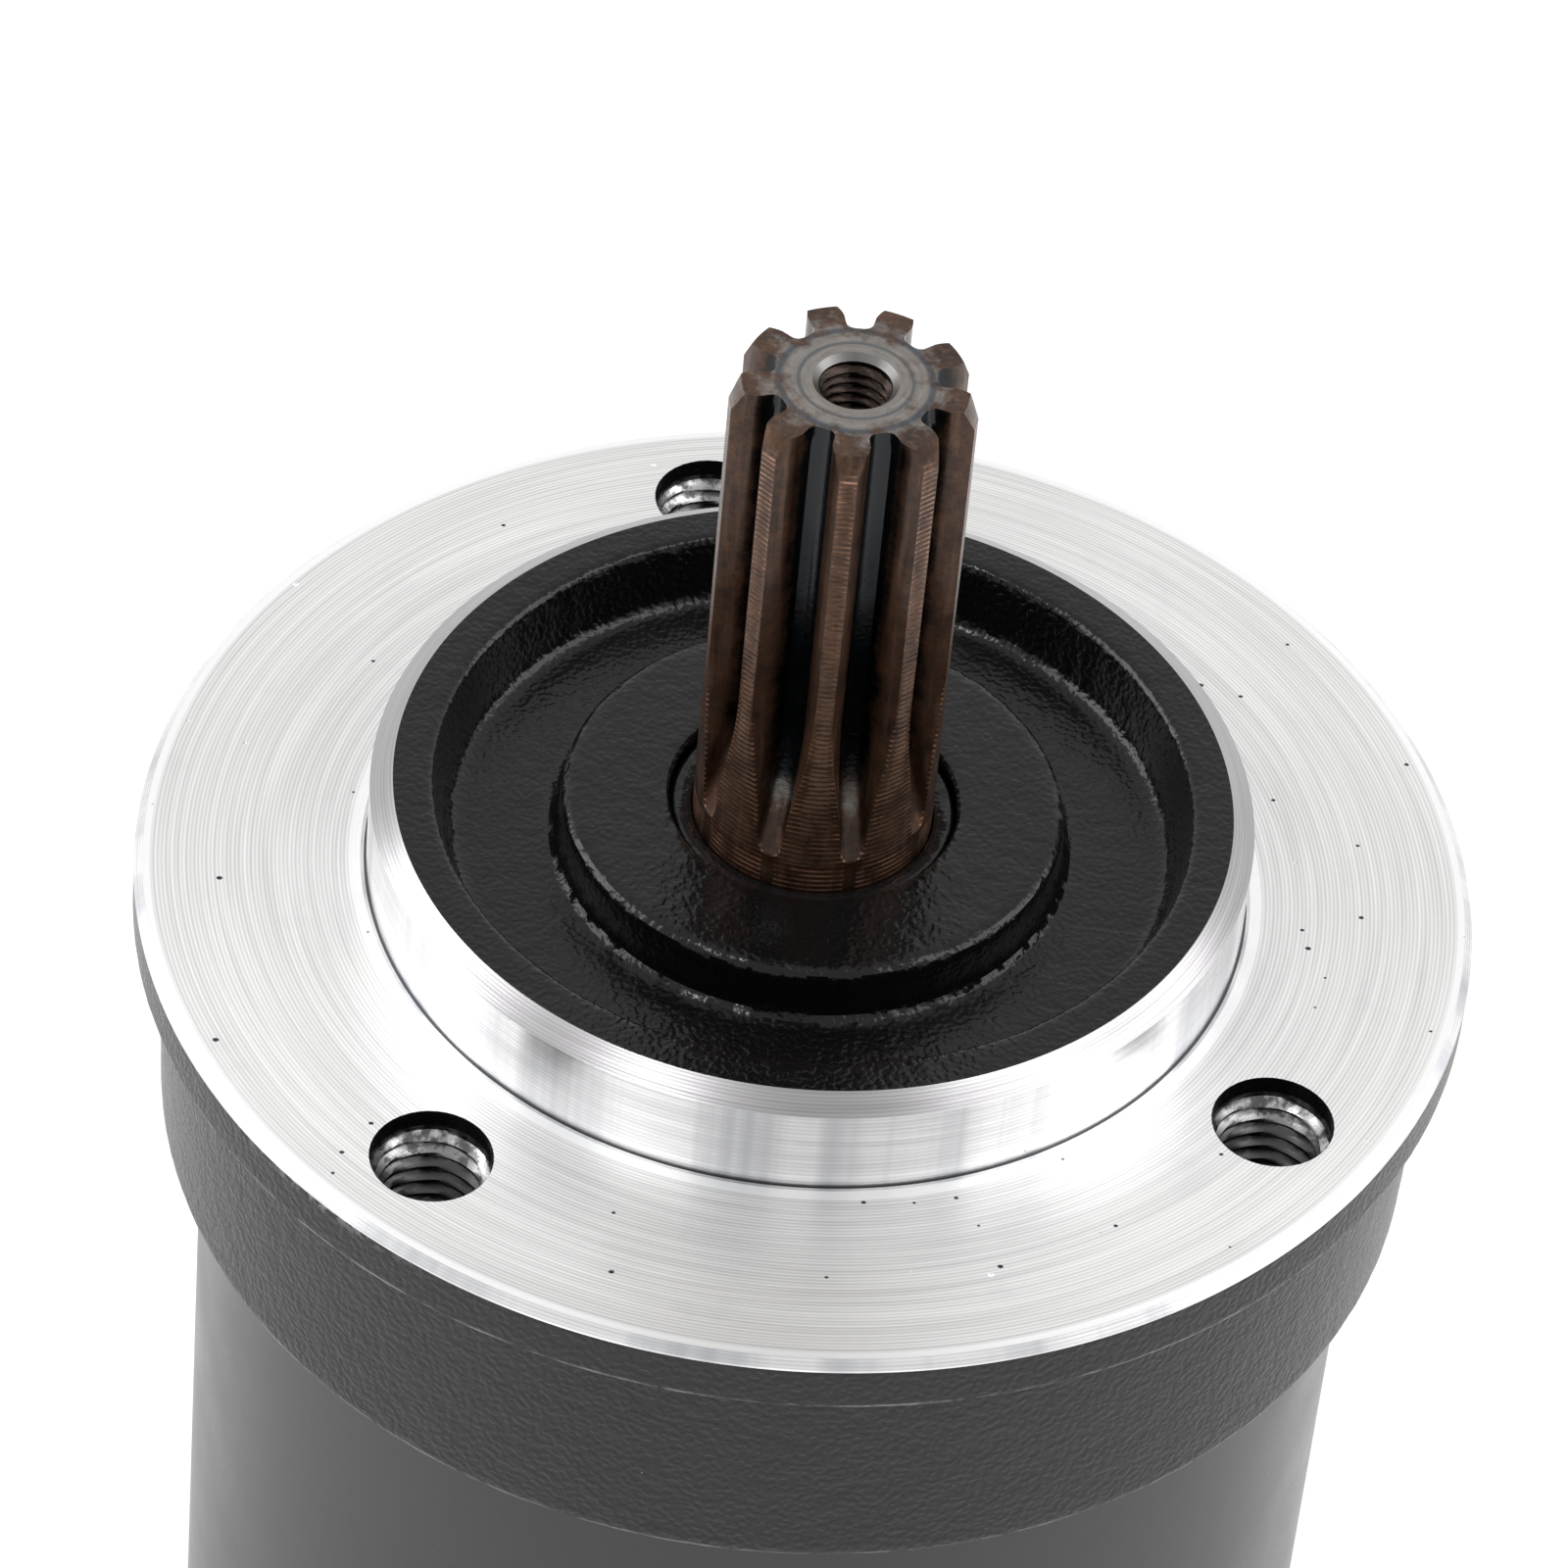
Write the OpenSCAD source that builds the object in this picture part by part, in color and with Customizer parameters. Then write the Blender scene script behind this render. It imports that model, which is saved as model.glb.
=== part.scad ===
// Two-stage in-line planetary gearbox, 80 mm frame size, with a toothed output pinion.
// Origin: on the axis, at the machined face of the mounting flange. +Z points out of the pinion end.
// Millimetres. Bodies that turn run with 0.03 to 0.1 mm of clearance; everything else touches face to face.

/* [Mounting flange] */
// Diameter of the machined flange rim
flange_d = 90; // [89:0.5:92]
// Depth of the rim band above its undercut
rim_t = 4; // [3:0.5:5]
// Diameter of the cast wall where it leaves the rim
wall_top_d = 86.4; // [86:0.1:87]
// Diameter of the cast wall at its foot
wall_foot_d = 85.6; // [85:0.1:86]
// Height of the cast wall, from the flange face to the tube
flange_h = 21; // [20.5:0.5:21.5]
// Diameter of the locating spigot
pilot_d = 59; // [58:0.5:60]
// Height of the locating spigot
pilot_h = 7.3; // [7:0.1:8]
// Diameter of the circle that the tapped holes lie on
bolt_circle_d = 74.8; // [74:0.1:76]
// Tapping diameter of the M8 flange holes
m8_tap_d = 6.8; // [6.6:0.1:7]
// Depth of the first M8 flange hole
m8_depth = 15; // [12:1:17]
// How much shallower each further M8 hole is
m8_depth_step = 0.4; // [0.3:0.1:0.6]
// Direction of the first M8 hole
hole_1_a = 104; // [95:0.5:115]
// Direction of the second M8 hole
hole_2_a = 233.5; // [225:0.5:240]
// Direction of the third M8 hole
hole_3_a = 328.5; // [320:0.5:340]

/* [Output pinion] */
// Number of pinion teeth
pinion_teeth = 9; // [9:1:9]
// Pinion module
pinion_module = 1.5; // [1.5:0.1:1.5]
// Diameter over the pinion teeth, which is the shaft diameter
pinion_d = 16; // [15.8:0.1:16]
// Radius of the pinion tooth roots
pinion_root_r = 5.14; // [5.1:0.01:5.3]
// Height of the pinion's end above the flange face
pinion_top = 43; // [40:0.5:46]
// Height where the straight flutes begin to run out
flute_z = 20; // [19:0.5:22]
// Radius of the flute run-outs
runout_r = 26.6; // [24:0.1:28]
// Direction of the first pinion tooth
pinion_a = 31; // [0:1:39]

/* [Tube and adapter] */
// Outside diameter of the ring gear tube and of the motor adapter
tube_d = 80; // [79:0.5:82]
// Bore of the tube at both ends
register_d = 73; // [72.8:0.1:73.4]
// Locating bore for the motor
motor_pilot_d = 50; // [50:0.5:52]
// Depth of the motor's locating bore
motor_pilot_h = 3.5; // [3:0.5:4]
// Diameter of the motor's bolt circle
motor_bolt_circle_d = 70; // [69:0.5:71]
// Bore of the input hub
input_bore_d = 14; // [11:0.5:14]

/* [Gear stages] */
// Module of the ring gear, planets and suns
gear_module = 1.25; // [1.25:0.01:1.25]
// Teeth on each sun and each planet
sun_teeth = 18; // [18:1:18]
// Teeth in the ring gear
ring_teeth = 54; // [54:1:54]
// Thinning of each tooth at its pitch circle
backlash = 0.1; // [0.08:0.01:0.14]
// Width of the output stage planets
output_planet_w = 14; // [13:0.5:14.5]
// Width of the input stage planets
input_planet_w = 10; // [9:0.5:10.5]

/* [Hidden] */
$fn = 96;

eps = 0.5;                // how far a cutter runs past the face it cuts
run = 0.03;               // radial clearance of a running fit
side = 0.1;               // axial clearance beside a turning part

// Bearings: bore, outside diameter, width, ball diameter, number of balls
front_brg = [17, 40, 12, 6.75, 8];
rear_brg = [20, 47, 14, 7.94, 8];
input_brg = [25, 47, 12, 6.35, 10];

shaft_r = pinion_d / 2;
tube_r = tube_d / 2;
register_r = register_d / 2;
spigot_r = register_r - 0.05;

// Gear radii
pitch_r = gear_module * sun_teeth / 2;
tip_r = pitch_r + gear_module;
root_r = pitch_r - 1.25 * gear_module;
ring_pitch_r = gear_module * ring_teeth / 2;
ring_tip_r = ring_pitch_r - 0.8 * gear_module;
ring_root_r = ring_pitch_r + 1.25 * gear_module;
orbit_r = ring_pitch_r - pitch_r;
planet_a = [90, 210, 330];
carrier_r = ring_tip_r - 1.75;

// Boss and recess round the shaft
boss_r = 16.65;
boss_top = 6.6;
boss_hole_r = 9.6;
floor_z = 2.7;

// Seals: outside radius and width
seal_r = 15;
seal_w = 7;
seal_top = 4.5;
input_seal_r = 21;

// Heights, from the flange face down
front_brg_z = -4;
rib_z = front_brg_z - front_brg[2];
rear_brg_z = rib_z - 4;
rear_brg_end = rear_brg_z - rear_brg[2];
clip_t = 1.6;
housing_end = rear_brg_end - 3;
disc_z = housing_end - 1.5;
disc_t = 7;
washer_t = 0.6;
output_planet_z = disc_z - disc_t - washer_t - side;
plate_z = output_planet_z - output_planet_w - side - washer_t;
plate_t = 6;
input_carrier_z = plate_z - plate_t - 1.7;
input_planet_z = input_carrier_z - plate_t - washer_t - side;
input_washer_z = input_planet_z - input_planet_w - side;
pin_end = input_washer_z - washer_t - 2;
adapter_z = -89.5;
input_brg_z = adapter_z - 2;
input_brg_end = input_brg_z - input_brg[2];
joint_z = adapter_z - 13;
input_seal_z = input_brg_end - 2.5;
cavity_z = input_seal_z - seal_w;
collar_t = 12;
collar_z = cavity_z - 2.5;
hub_end = collar_z - collar_t - 1.5;
rear_z = hub_end - 0.5 - motor_pilot_h;
tap_z = joint_z + 6.5;

// Pins and posts
output_pin_r = 5;
input_pin_r = 4;
bush_t = 2;
post_r = 6;
post_orbit_r = 24;
carrier_seat_r = 11;
input_r = input_brg[0] / 2;
clamp_x = 17.3;
clamp_mid_z = collar_z - collar_t / 2;

function inv(a) = tan(a) - a * PI / 180;
function mesh_angle(m, z, r) = r > m * z / 2 * cos(20) ? acos(m * z / 2 * cos(20) / r) : 0;
// Half the angle that a tooth of an external gear covers at radius r
function tooth_a(m, z, r, thin = 0) =
    90 / z + (inv(20) - inv(mesh_angle(m, z, r)) - thin / (m * z)) * 180 / PI;
function polar(r, a) = [r * cos(a), r * sin(a)];

// Outline of a toothed wheel with one tooth on +X: radii run from the root to the tip of a flank
module wheel_outline(m, z, radii, thin) {
    last = len(radii) - 1;
    polygon([
        for (i = [0:z - 1])
            for (j = [0:2 * last + 1])
                let (r = radii[j <= last ? j : 2 * last + 1 - j])
                polar(r, i * 360 / z + (j <= last ? -1 : 1) * tooth_a(m, z, r, thin))
    ]);
}

function flank(r0, rb, r1, n) = concat([r0], [for (k = [0:n]) max(r0, rb) + 0.02 + k * (r1 - max(r0, rb) - 0.02) / n]);

module small_gear() {
    base_r = pitch_r * cos(20);
    wheel_outline(gear_module, sun_teeth, flank(root_r, base_r, tip_r, 4), backlash);
}

module ring_cutter() {
    wheel_outline(gear_module, ring_teeth, flank(ring_tip_r - 0.02, 0, ring_root_r, 3), -backlash);
}

// A ring with a rectangular section, hanging down from height z
module ring(z, h, r_out, r_in) {
    translate([0, 0, z - h])
        difference() {
            cylinder(h = h, r = r_out);
            translate([0, 0, -eps]) cylinder(h = h + 2 * eps, r = r_in);
        }
}

// A plain disc or bar, hanging down from height z
module down(z, h, r) {
    translate([0, 0, z - h]) cylinder(h = h, r = r);
}

module at_planets() {
    for (a = planet_a) rotate(a) translate([orbit_r, 0, 0]) children();
}

module at_posts() {
    for (a = planet_a) rotate(a + 60) translate([post_orbit_r, 0, 0]) children();
}

module tap_holes() {
    angles = [hole_1_a, hole_2_a, hole_3_a];
    for (i = [0:2]) rotate(angles[i]) translate([bolt_circle_d / 2, 0, 0]) {
        down(eps, 1.4 + eps, 4.04);
        down(0, m8_depth - i * m8_depth_step, m8_tap_d / 2);
    }
}

// Ball bearing pieces: b is the bearing's size list and z its upper face
function brg_pitch(b) = (b[0] + b[1]) / 4;
module race_groove(b) {
    translate([brg_pitch(b), -b[2] / 2]) circle(r = b[3] / 2 + 0.05);
}

module brg_outer(b, z) {
    land = brg_pitch(b) + 0.3 * b[3];
    translate([0, 0, z]) rotate_extrude() difference() {
        translate([land, -b[2]]) square([b[1] / 2 - land, b[2]]);
        race_groove(b);
    }
}

module brg_inner(b, z) {
    land = brg_pitch(b) - 0.3 * b[3];
    translate([0, 0, z]) rotate_extrude() difference() {
        translate([b[0] / 2, -b[2]]) square([land - b[0] / 2, b[2]]);
        race_groove(b);
    }
}

module at_balls(b, z) {
    for (i = [0:b[4] - 1]) rotate(i * 360 / b[4]) translate([brg_pitch(b), 0, z - b[2] / 2]) children();
}

module brg_balls(b, z) {
    at_balls(b, z) sphere(d = b[3], $fn = 48);
}

// Crown cage: the balls snap in from above, and a rim joins the prongs below them
module brg_cage(b, z) {
    above = b[3] / 4;
    below = b[3] / 2 + 1.2;
    difference() {
        ring(z - b[2] / 2 + above, above + below, brg_pitch(b) + 1.2, brg_pitch(b) - 1.2);
        at_balls(b, z) sphere(r = b[3] / 2 + 0.12, $fn = 48);
    }
}

// A circlip: a ring with a gap, and an eye on each side of the gap, centred at radius eye_r
module circlip(z, t, r_out, r_in, eye_r) {
    gap_a = 14;
    eye_a = gap_a + asin(1.25 / eye_r);
    difference() {
        union() {
            ring(z, t, r_out, r_in);
            for (s = [-1, 1]) rotate(s * eye_a) translate([eye_r, 0, 0]) down(z, t, 1.7);
        }
        for (s = [-1, 1]) rotate(s * eye_a) translate([eye_r, 0, 0]) down(z + eps, t + 2 * eps, 0.8);
        translate([0, 0, z - t - eps]) linear_extrude(t + 2 * eps)
            polygon([[0, 0], polar(2 * r_out, -gap_a), polar(2 * r_out, gap_a)]);
    }
}

// --- Casings ---

module front_housing() {
    rim_r = flange_d / 2;
    pilot_r = pilot_d / 2;
    color("dimgray") difference() {
        rotate_extrude() polygon([
            [boss_hole_r, boss_top], [boss_r - 0.5, boss_top], [boss_r, boss_top - 0.6],
            [boss_r + 0.4, floor_z + 0.7], [boss_r + 1.1, floor_z],
            [23.2, floor_z], [23.9, floor_z + 0.7], [25.1, pilot_h - 0.5], [25.5, pilot_h],
            [pilot_r - 1.5, pilot_h], [pilot_r, pilot_h - 1], [pilot_r, 0],
            [rim_r - 0.6, 0], [rim_r, -0.6], [rim_r, 0.4 - rim_t], [rim_r - 0.4, -rim_t],
            [wall_top_d / 2, -rim_t - 0.5], [wall_foot_d / 2, 0.6 - flange_h],
            [wall_foot_d / 2 - 0.6, -flange_h], [spigot_r, -flange_h],
            [spigot_r, housing_end + 0.8], [spigot_r - 0.8, housing_end],
            [rear_brg[1] / 2, housing_end], [rear_brg[1] / 2, rear_brg_z],
            [front_brg[1] / 2 - 3, rear_brg_z], [front_brg[1] / 2 - 3, rib_z],
            [front_brg[1] / 2, rib_z], [front_brg[1] / 2, front_brg_z],
            [seal_r, front_brg_z], [seal_r, seal_top], [boss_hole_r, seal_top]
        ]);
        ring(rear_brg_end, clip_t, rear_brg[1] / 2 + 1.1, 0);
        ring(-27, 2.7, spigot_r + eps, spigot_r - 1.6);
        tap_holes();
    }
}

module ring_gear_tube() {
    color([0.22, 0.22, 0.23]) difference() {
        rotate_extrude() polygon([
            [ring_tip_r - 3, -flange_h], [tube_r - 0.7, -flange_h], [tube_r, -flange_h - 0.7],
            [tube_r, joint_z + 0.4], [tube_r - 0.4, joint_z], [ring_tip_r - 3, joint_z]
        ]);
        translate([0, 0, joint_z - eps]) linear_extrude(-flange_h - joint_z + 2 * eps)
            rotate(planet_a[0]) ring_cutter();
        down(eps - flange_h, eps - flange_h - disc_z - 0.5, register_r);
        down(adapter_z + 1, adapter_z + 1 - joint_z + eps, register_r);
        at_screws() screw_space();
    }
}

module motor_adapter() {
    seat_r = input_brg[1] / 2;
    color([0.3, 0.3, 0.31]) difference() {
        rotate_extrude() polygon([
            [seat_r, adapter_z], [spigot_r - 0.8, adapter_z], [spigot_r, adapter_z - 0.8],
            [spigot_r, joint_z], [tube_r - 0.4, joint_z], [tube_r, joint_z - 0.4],
            [tube_r, rear_z + 0.8], [tube_r - 0.8, rear_z],
            [motor_pilot_d / 2, rear_z], [motor_pilot_d / 2, rear_z + motor_pilot_h],
            [24, rear_z + motor_pilot_h], [24, cavity_z], [input_seal_r, cavity_z],
            [input_seal_r, input_seal_z], [19, input_seal_z], [19, input_brg_end], [seat_r, input_brg_end]
        ]);
        ring(input_brg_z + clip_t, clip_t, seat_r + 1.1, 0);
        ring(joint_z + 3.4, 2.7, spigot_r + eps, spigot_r - 1.6);
        for (a = [45:90:315]) rotate(a) translate([motor_bolt_circle_d / 2, 0, rear_z - eps])
            cylinder(h = 12 + eps, r = 2.1);
        at_screws() rotate([0, 90, 0]) cylinder(h = spigot_r + 1, r = 2);
        translate([clamp_x, 0, clamp_mid_z]) rotate([90, 0, 0]) cylinder(h = tube_r, r = 4);
    }
}

// Six countersunk M4 screws hold the tube on the adapter. Children lie along +X, and only their ends are kept
module at_screws() {
    for (a = [30:60:330]) rotate(a) translate([0, 0, tap_z]) intersection() {
        children();
        translate([28, -10, -10]) cube([20, 20, 20]);
    }
}

module screw_space() {
    rotate([0, 90, 0]) {
        cylinder(h = tube_r + 1, r = 2);
        translate([0, 0, tube_r - 2.4]) cylinder(h = 2.4, r1 = 2, r2 = 4.4);
    }
}

module adapter_screws() {
    color([0.14, 0.14, 0.15]) for (a = [30:60:330]) rotate(a) translate([0, 0, tap_z]) rotate([0, 90, 0])
        difference() {
            union() {
                translate([0, 0, 28.5]) cylinder(h = tube_r - 2.4 - 28.5, r = 1.97);
                translate([0, 0, tube_r - 2.4]) cylinder(h = 2, r1 = 1.97, r2 = 4);
            }
            translate([0, 0, tube_r - 2]) cylinder(h = 3, r = 1.45, $fn = 6);
        }
}

module access_plug() {
    color("black") translate([clamp_x, -28.5, clamp_mid_z]) rotate([90, 0, 0]) difference() {
        cylinder(h = 5, r = 3.98);
        translate([0, 0, 2]) cylinder(h = 4, r = 2, $fn = 6);
    }
}

// --- Seals ---

module o_ring(z) {
    color("black") translate([0, 0, z]) rotate_extrude() translate([spigot_r - 0.79, 0]) circle(r = 0.8, $fn = 32);
}
module front_o_ring() { o_ring(-28.35); }
module adapter_o_ring() { o_ring(joint_z + 2.05); }

// Lip seal: r_shaft and r_out are its two radii, z its upper face
module lip_seal(z, r_shaft, r_out) {
    lip = r_shaft + run + 0.01;
    color([0.07, 0.07, 0.07]) translate([0, 0, z]) rotate_extrude() polygon([
        [r_out, -seal_w], [r_out, 0], [lip, 0], [lip, -0.6], [r_shaft + 1.2, -1.9],
        [lip, -3.4], [lip + 0.5, -5.2], [r_shaft + 2.4, -5.4], [r_shaft + 2.6, -2.4],
        [r_out - 1.4, -2.4], [r_out - 1.4, -seal_w]
    ]);
}

module output_seal() {
    lip_seal(seal_top, shaft_r, seal_r);
    color([0.07, 0.07, 0.07]) ring(seal_top + 1.2, 1.2, boss_hole_r - 0.1, shaft_r + run + 0.01);
}

module output_seal_spring() {
    color("silver") translate([0, 0, seal_top - 4.6]) rotate_extrude()
        translate([shaft_r + 3.4, 0]) circle(r = 0.65, $fn = 24);
}
module input_seal() { lip_seal(input_seal_z, input_r, input_seal_r); }

// --- Bearings, spacer and circlips ---

module front_bearing_outer() { color("silver") brg_outer(front_brg, front_brg_z); }
module front_bearing_inner() { color("silver") brg_inner(front_brg, front_brg_z); }
module front_bearing_balls() { color("gainsboro") brg_balls(front_brg, front_brg_z); }
module front_bearing_cage() { color("goldenrod") brg_cage(front_brg, front_brg_z); }
module rear_bearing_outer() { color("silver") brg_outer(rear_brg, rear_brg_z); }
module rear_bearing_inner() { color("silver") brg_inner(rear_brg, rear_brg_z); }
module rear_bearing_balls() { color("gainsboro") brg_balls(rear_brg, rear_brg_z); }
module rear_bearing_cage() { color("goldenrod") brg_cage(rear_brg, rear_brg_z); }
module input_bearing_outer() { color("silver") brg_outer(input_brg, input_brg_z); }
module input_bearing_inner() { color("silver") brg_inner(input_brg, input_brg_z); }
module input_bearing_balls() { color("gainsboro") brg_balls(input_brg, input_brg_z); }
module input_bearing_cage() { color("goldenrod") brg_cage(input_brg, input_brg_z); }

module bore_clip(b, z) {
    color([0.25, 0.23, 0.22]) circlip(z, clip_t - 0.1, b[1] / 2 + 1, b[1] / 2 - 1.8, b[1] / 2 - 2.2);
}
module rear_bearing_circlip() { bore_clip(rear_brg, rear_brg_end); }
module input_bearing_circlip() { bore_clip(input_brg, input_brg_z + clip_t - 0.05); }
module shaft_circlip() {
    color([0.25, 0.23, 0.22]) circlip(front_brg_z + 1, 1, front_brg[0] / 2 + 1.6, front_brg[0] / 2 - 0.5, 10.6);
}
module input_shaft_circlip() {
    color([0.25, 0.23, 0.22]) circlip(input_brg_end, 1.2, input_r + 1.6, input_r - 0.6, input_r + 2.1);
}
module bearing_spacer() { color("gray") ring(rib_z, rib_z - rear_brg_z, front_brg[0] / 2 + 3, front_brg[0] / 2); }

// --- Output shaft, its carrier and the output stage ---

// Point at radius r on one side of a pinion tooth space that is centred on +X
function space_point(r) = let (a = 180 / pinion_teeth - tooth_a(pinion_module, pinion_teeth, r)) [r * cos(a), r * sin(a)];
pinion_base_r = pinion_module * pinion_teeth / 2 * cos(20);
space_radii = concat(
    [pinion_root_r + 0.35, pinion_base_r],
    [for (k = [1:4]) pinion_base_r + k * (shaft_r + 0.3 - pinion_base_r) / 4]
);
// One side of the space, from its root to outside the shaft
space_side = concat(
    [[pinion_root_r, 0.45]],
    [for (r = space_radii) space_point(r)],
    [[shaft_r + 1, space_point(shaft_r + 0.3)[1]]]
);

// Tooth space section, with the shaft's axis at the origin
module tooth_space() {
    last = len(space_side) - 1;
    polygon(concat([for (p = space_side) [p[0], -p[1]]], [for (j = [last:-1:0]) space_side[j]]));
}

// Each flute runs straight down to flute_z, then lifts out along an arc of radius runout_r
module pinion_flutes() {
    axis_x = pinion_root_r + runout_r;
    for (i = [0:pinion_teeth - 1]) rotate(pinion_a + (i + 0.5) * 360 / pinion_teeth)
        translate([0, 0, flute_z]) {
            linear_extrude(pinion_top - flute_z + eps) tooth_space();
            translate([axis_x, 0, 0]) rotate([90, 0, 0]) rotate(180) rotate_extrude(angle = 40, $fn = 180)
                translate([axis_x, 0]) mirror([1, 0]) tooth_space();
        }
}

module output_shaft() {
    front_r = front_brg[0] / 2;
    rear_r = rear_brg[0] / 2;
    color([0.34, 0.22, 0.17]) difference() {
        rotate_extrude() polygon([
            [0, pinion_top], [shaft_r - 0.7, pinion_top], [shaft_r, pinion_top - 1.6],
            [shaft_r, front_brg_z + 1.2], [front_r, front_brg_z + 1.2],
            [front_r, rear_brg_z], [rear_r, rear_brg_z],
            [rear_r, rear_brg_end], [rear_r + 3, rear_brg_end], [rear_r + 3, disc_z],
            [carrier_seat_r, disc_z], [carrier_seat_r, disc_z - disc_t], [0, disc_z - disc_t]
        ]);
        ring(front_brg_z + 1, 1, front_r + eps, front_r - 0.5);
        pinion_flutes();
        down(pinion_top + eps, 12 + eps, 2.1);
        translate([0, 0, pinion_top - 0.7]) cylinder(h = 0.7, r1 = 2.1, r2 = 2.8);
    }
}

module output_carrier() {
    color("slategray") difference() {
        union() {
            rotate_extrude() polygon([
                [carrier_seat_r, disc_z], [carrier_r - 1, disc_z], [carrier_r, disc_z - 1],
                [carrier_r, disc_z - disc_t + 0.5], [carrier_r - 0.5, disc_z - disc_t],
                [carrier_seat_r, disc_z - disc_t]
            ]);
            at_posts() down(disc_z - disc_t + eps, disc_z - disc_t - plate_z + eps, post_r);
        }
        at_planets() down(disc_z - 2, disc_t, output_pin_r);
        at_posts() translate([0, 0, plate_z - eps]) cylinder(h = 12 + eps, r = 2.5);
    }
}

module output_carrier_plate() {
    color("slategray") difference() {
        ring(plate_z, plate_t, carrier_r, tip_r + 1);
        at_planets() down(plate_z + eps, plate_t + 2 * eps, output_pin_r);
        at_posts() {
            down(plate_z + eps, plate_t + 2 * eps, 2.7);
            translate([0, 0, plate_z - plate_t]) cylinder(h = 3, r1 = 5.2, r2 = 2.7);
        }
    }
}

module carrier_screws() {
    color([0.14, 0.14, 0.15]) at_posts() translate([0, 0, plate_z - plate_t]) difference() {
        union() {
            cylinder(h = 2.6, r1 = 4.9, r2 = 2.45);
            translate([0, 0, 2.6]) cylinder(h = plate_t + 8 - 2.6, r = 2.45);
        }
        translate([0, 0, -1]) cylinder(h = 3, r = 1.7, $fn = 6);
    }
}

module output_planet_pins() {
    color("lightgray") at_planets() down(disc_z - 2, disc_z - 2 - plate_z + plate_t, output_pin_r);
}

module washers(z, r_in) {
    color("tan") at_planets() ring(z, washer_t, 9, r_in);
}
module output_thrust_washers() {
    washers(disc_z - disc_t, output_pin_r);
    washers(plate_z + washer_t, output_pin_r);
}
module output_thrust_pad() { color("ivory") down(disc_z - disc_t, 1.2, 9); }

module planet(i, z, w, bore_r) {
    color([0.45, 0.46, 0.48]) rotate(planet_a[i]) translate([orbit_r, 0, z - w]) difference() {
        linear_extrude(w) small_gear();
        translate([0, 0, -eps]) cylinder(h = w + 2 * eps, r = bore_r);
    }
}

module bush(i, z, w, pin_r) {
    color("darkgoldenrod") rotate(planet_a[i]) translate([orbit_r, 0, 0]) ring(z, w, pin_r + bush_t, pin_r + run);
}

module output_planet(i) { planet(i, output_planet_z, output_planet_w, output_pin_r + bush_t); }
module output_bush(i) { bush(i, output_planet_z, output_planet_w, output_pin_r); }

// --- Input stage ---

module output_sun() {
    top = disc_z - disc_t - 1.3;
    color([0.5, 0.5, 0.52]) {
        translate([0, 0, input_carrier_z]) linear_extrude(top - input_carrier_z)
            rotate(planet_a[0] + 180 / sun_teeth) small_gear();
        down(input_carrier_z, plate_t, 9);
    }
}

module input_carrier() {
    color("slategray") difference() {
        ring(input_carrier_z, plate_t, carrier_r, 9);
        at_planets() down(input_carrier_z + eps, plate_t + 2 * eps, input_pin_r);
    }
}

module input_planet_pins() {
    clip_z = input_washer_z - washer_t;
    color("lightgray") at_planets() difference() {
        down(input_carrier_z, input_carrier_z - pin_end, input_pin_r);
        ring(clip_z, 1, input_pin_r + eps, input_pin_r - 0.6);
    }
}

module input_thrust_washers() {
    washers(input_carrier_z - plate_t, input_pin_r);
    washers(input_washer_z, input_pin_r);
}

module input_pin_clips() {
    color([0.25, 0.23, 0.22]) at_planets() difference() {
        ring(input_washer_z - washer_t, 0.9, input_pin_r + 1.8, input_pin_r - 0.6);
        translate([0, -1.5, input_washer_z - washer_t - 2]) cube([10, 3, 3]);
    }
}
module input_planet(i) { planet(i, input_planet_z, input_planet_w, input_pin_r + bush_t); }
module input_bush(i) { bush(i, input_planet_z, input_planet_w, input_pin_r); }

module input_shaft() {
    top = input_carrier_z - plate_t - 0.4;
    teeth_end = input_washer_z - 2;
    color([0.5, 0.5, 0.52]) difference() {
        union() {
            translate([0, 0, teeth_end]) linear_extrude(top - teeth_end)
                rotate(planet_a[0] + 180 / sun_teeth) small_gear();
            rotate_extrude() polygon([
                [0, teeth_end], [input_r + 2, teeth_end], [input_r + 2, input_brg_z],
                [input_r, input_brg_z], [input_r, hub_end + 0.5], [input_r - 0.5, hub_end], [0, hub_end]
            ]);
        }
        ring(input_brg_end, 1.2, input_r + eps, input_r - 0.6);
        translate([0, 0, hub_end - eps]) cylinder(h = 24 + eps, r = input_bore_d / 2);
        translate([-20, -1, hub_end - eps]) cube([40, 2, collar_t + 2.5]);
    }
}

module clamp_collar() {
    color([0.16, 0.16, 0.17]) difference() {
        ring(collar_z, collar_t, 22, input_r);
        translate([0, -1, collar_z - collar_t - eps]) cube([25, 2, collar_t + 2 * eps]);
        translate([clamp_x, 25, clamp_mid_z]) rotate([90, 0, 0]) cylinder(h = 50, r = 2.55);
        translate([clamp_x, -5, clamp_mid_z]) rotate([90, 0, 0]) cylinder(h = 20, r = 4.6);
    }
}

module clamp_screw() {
    color([0.12, 0.12, 0.13]) translate([clamp_x, -5, clamp_mid_z]) rotate([90, 0, 0]) difference() {
        union() {
            cylinder(h = 4.6, r = 4.25);
            translate([0, 0, -15]) cylinder(h = 15, r = 2.5);
        }
        translate([0, 0, 2.1]) cylinder(h = 4, r = 2.3, $fn = 6);
    }
}

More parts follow.
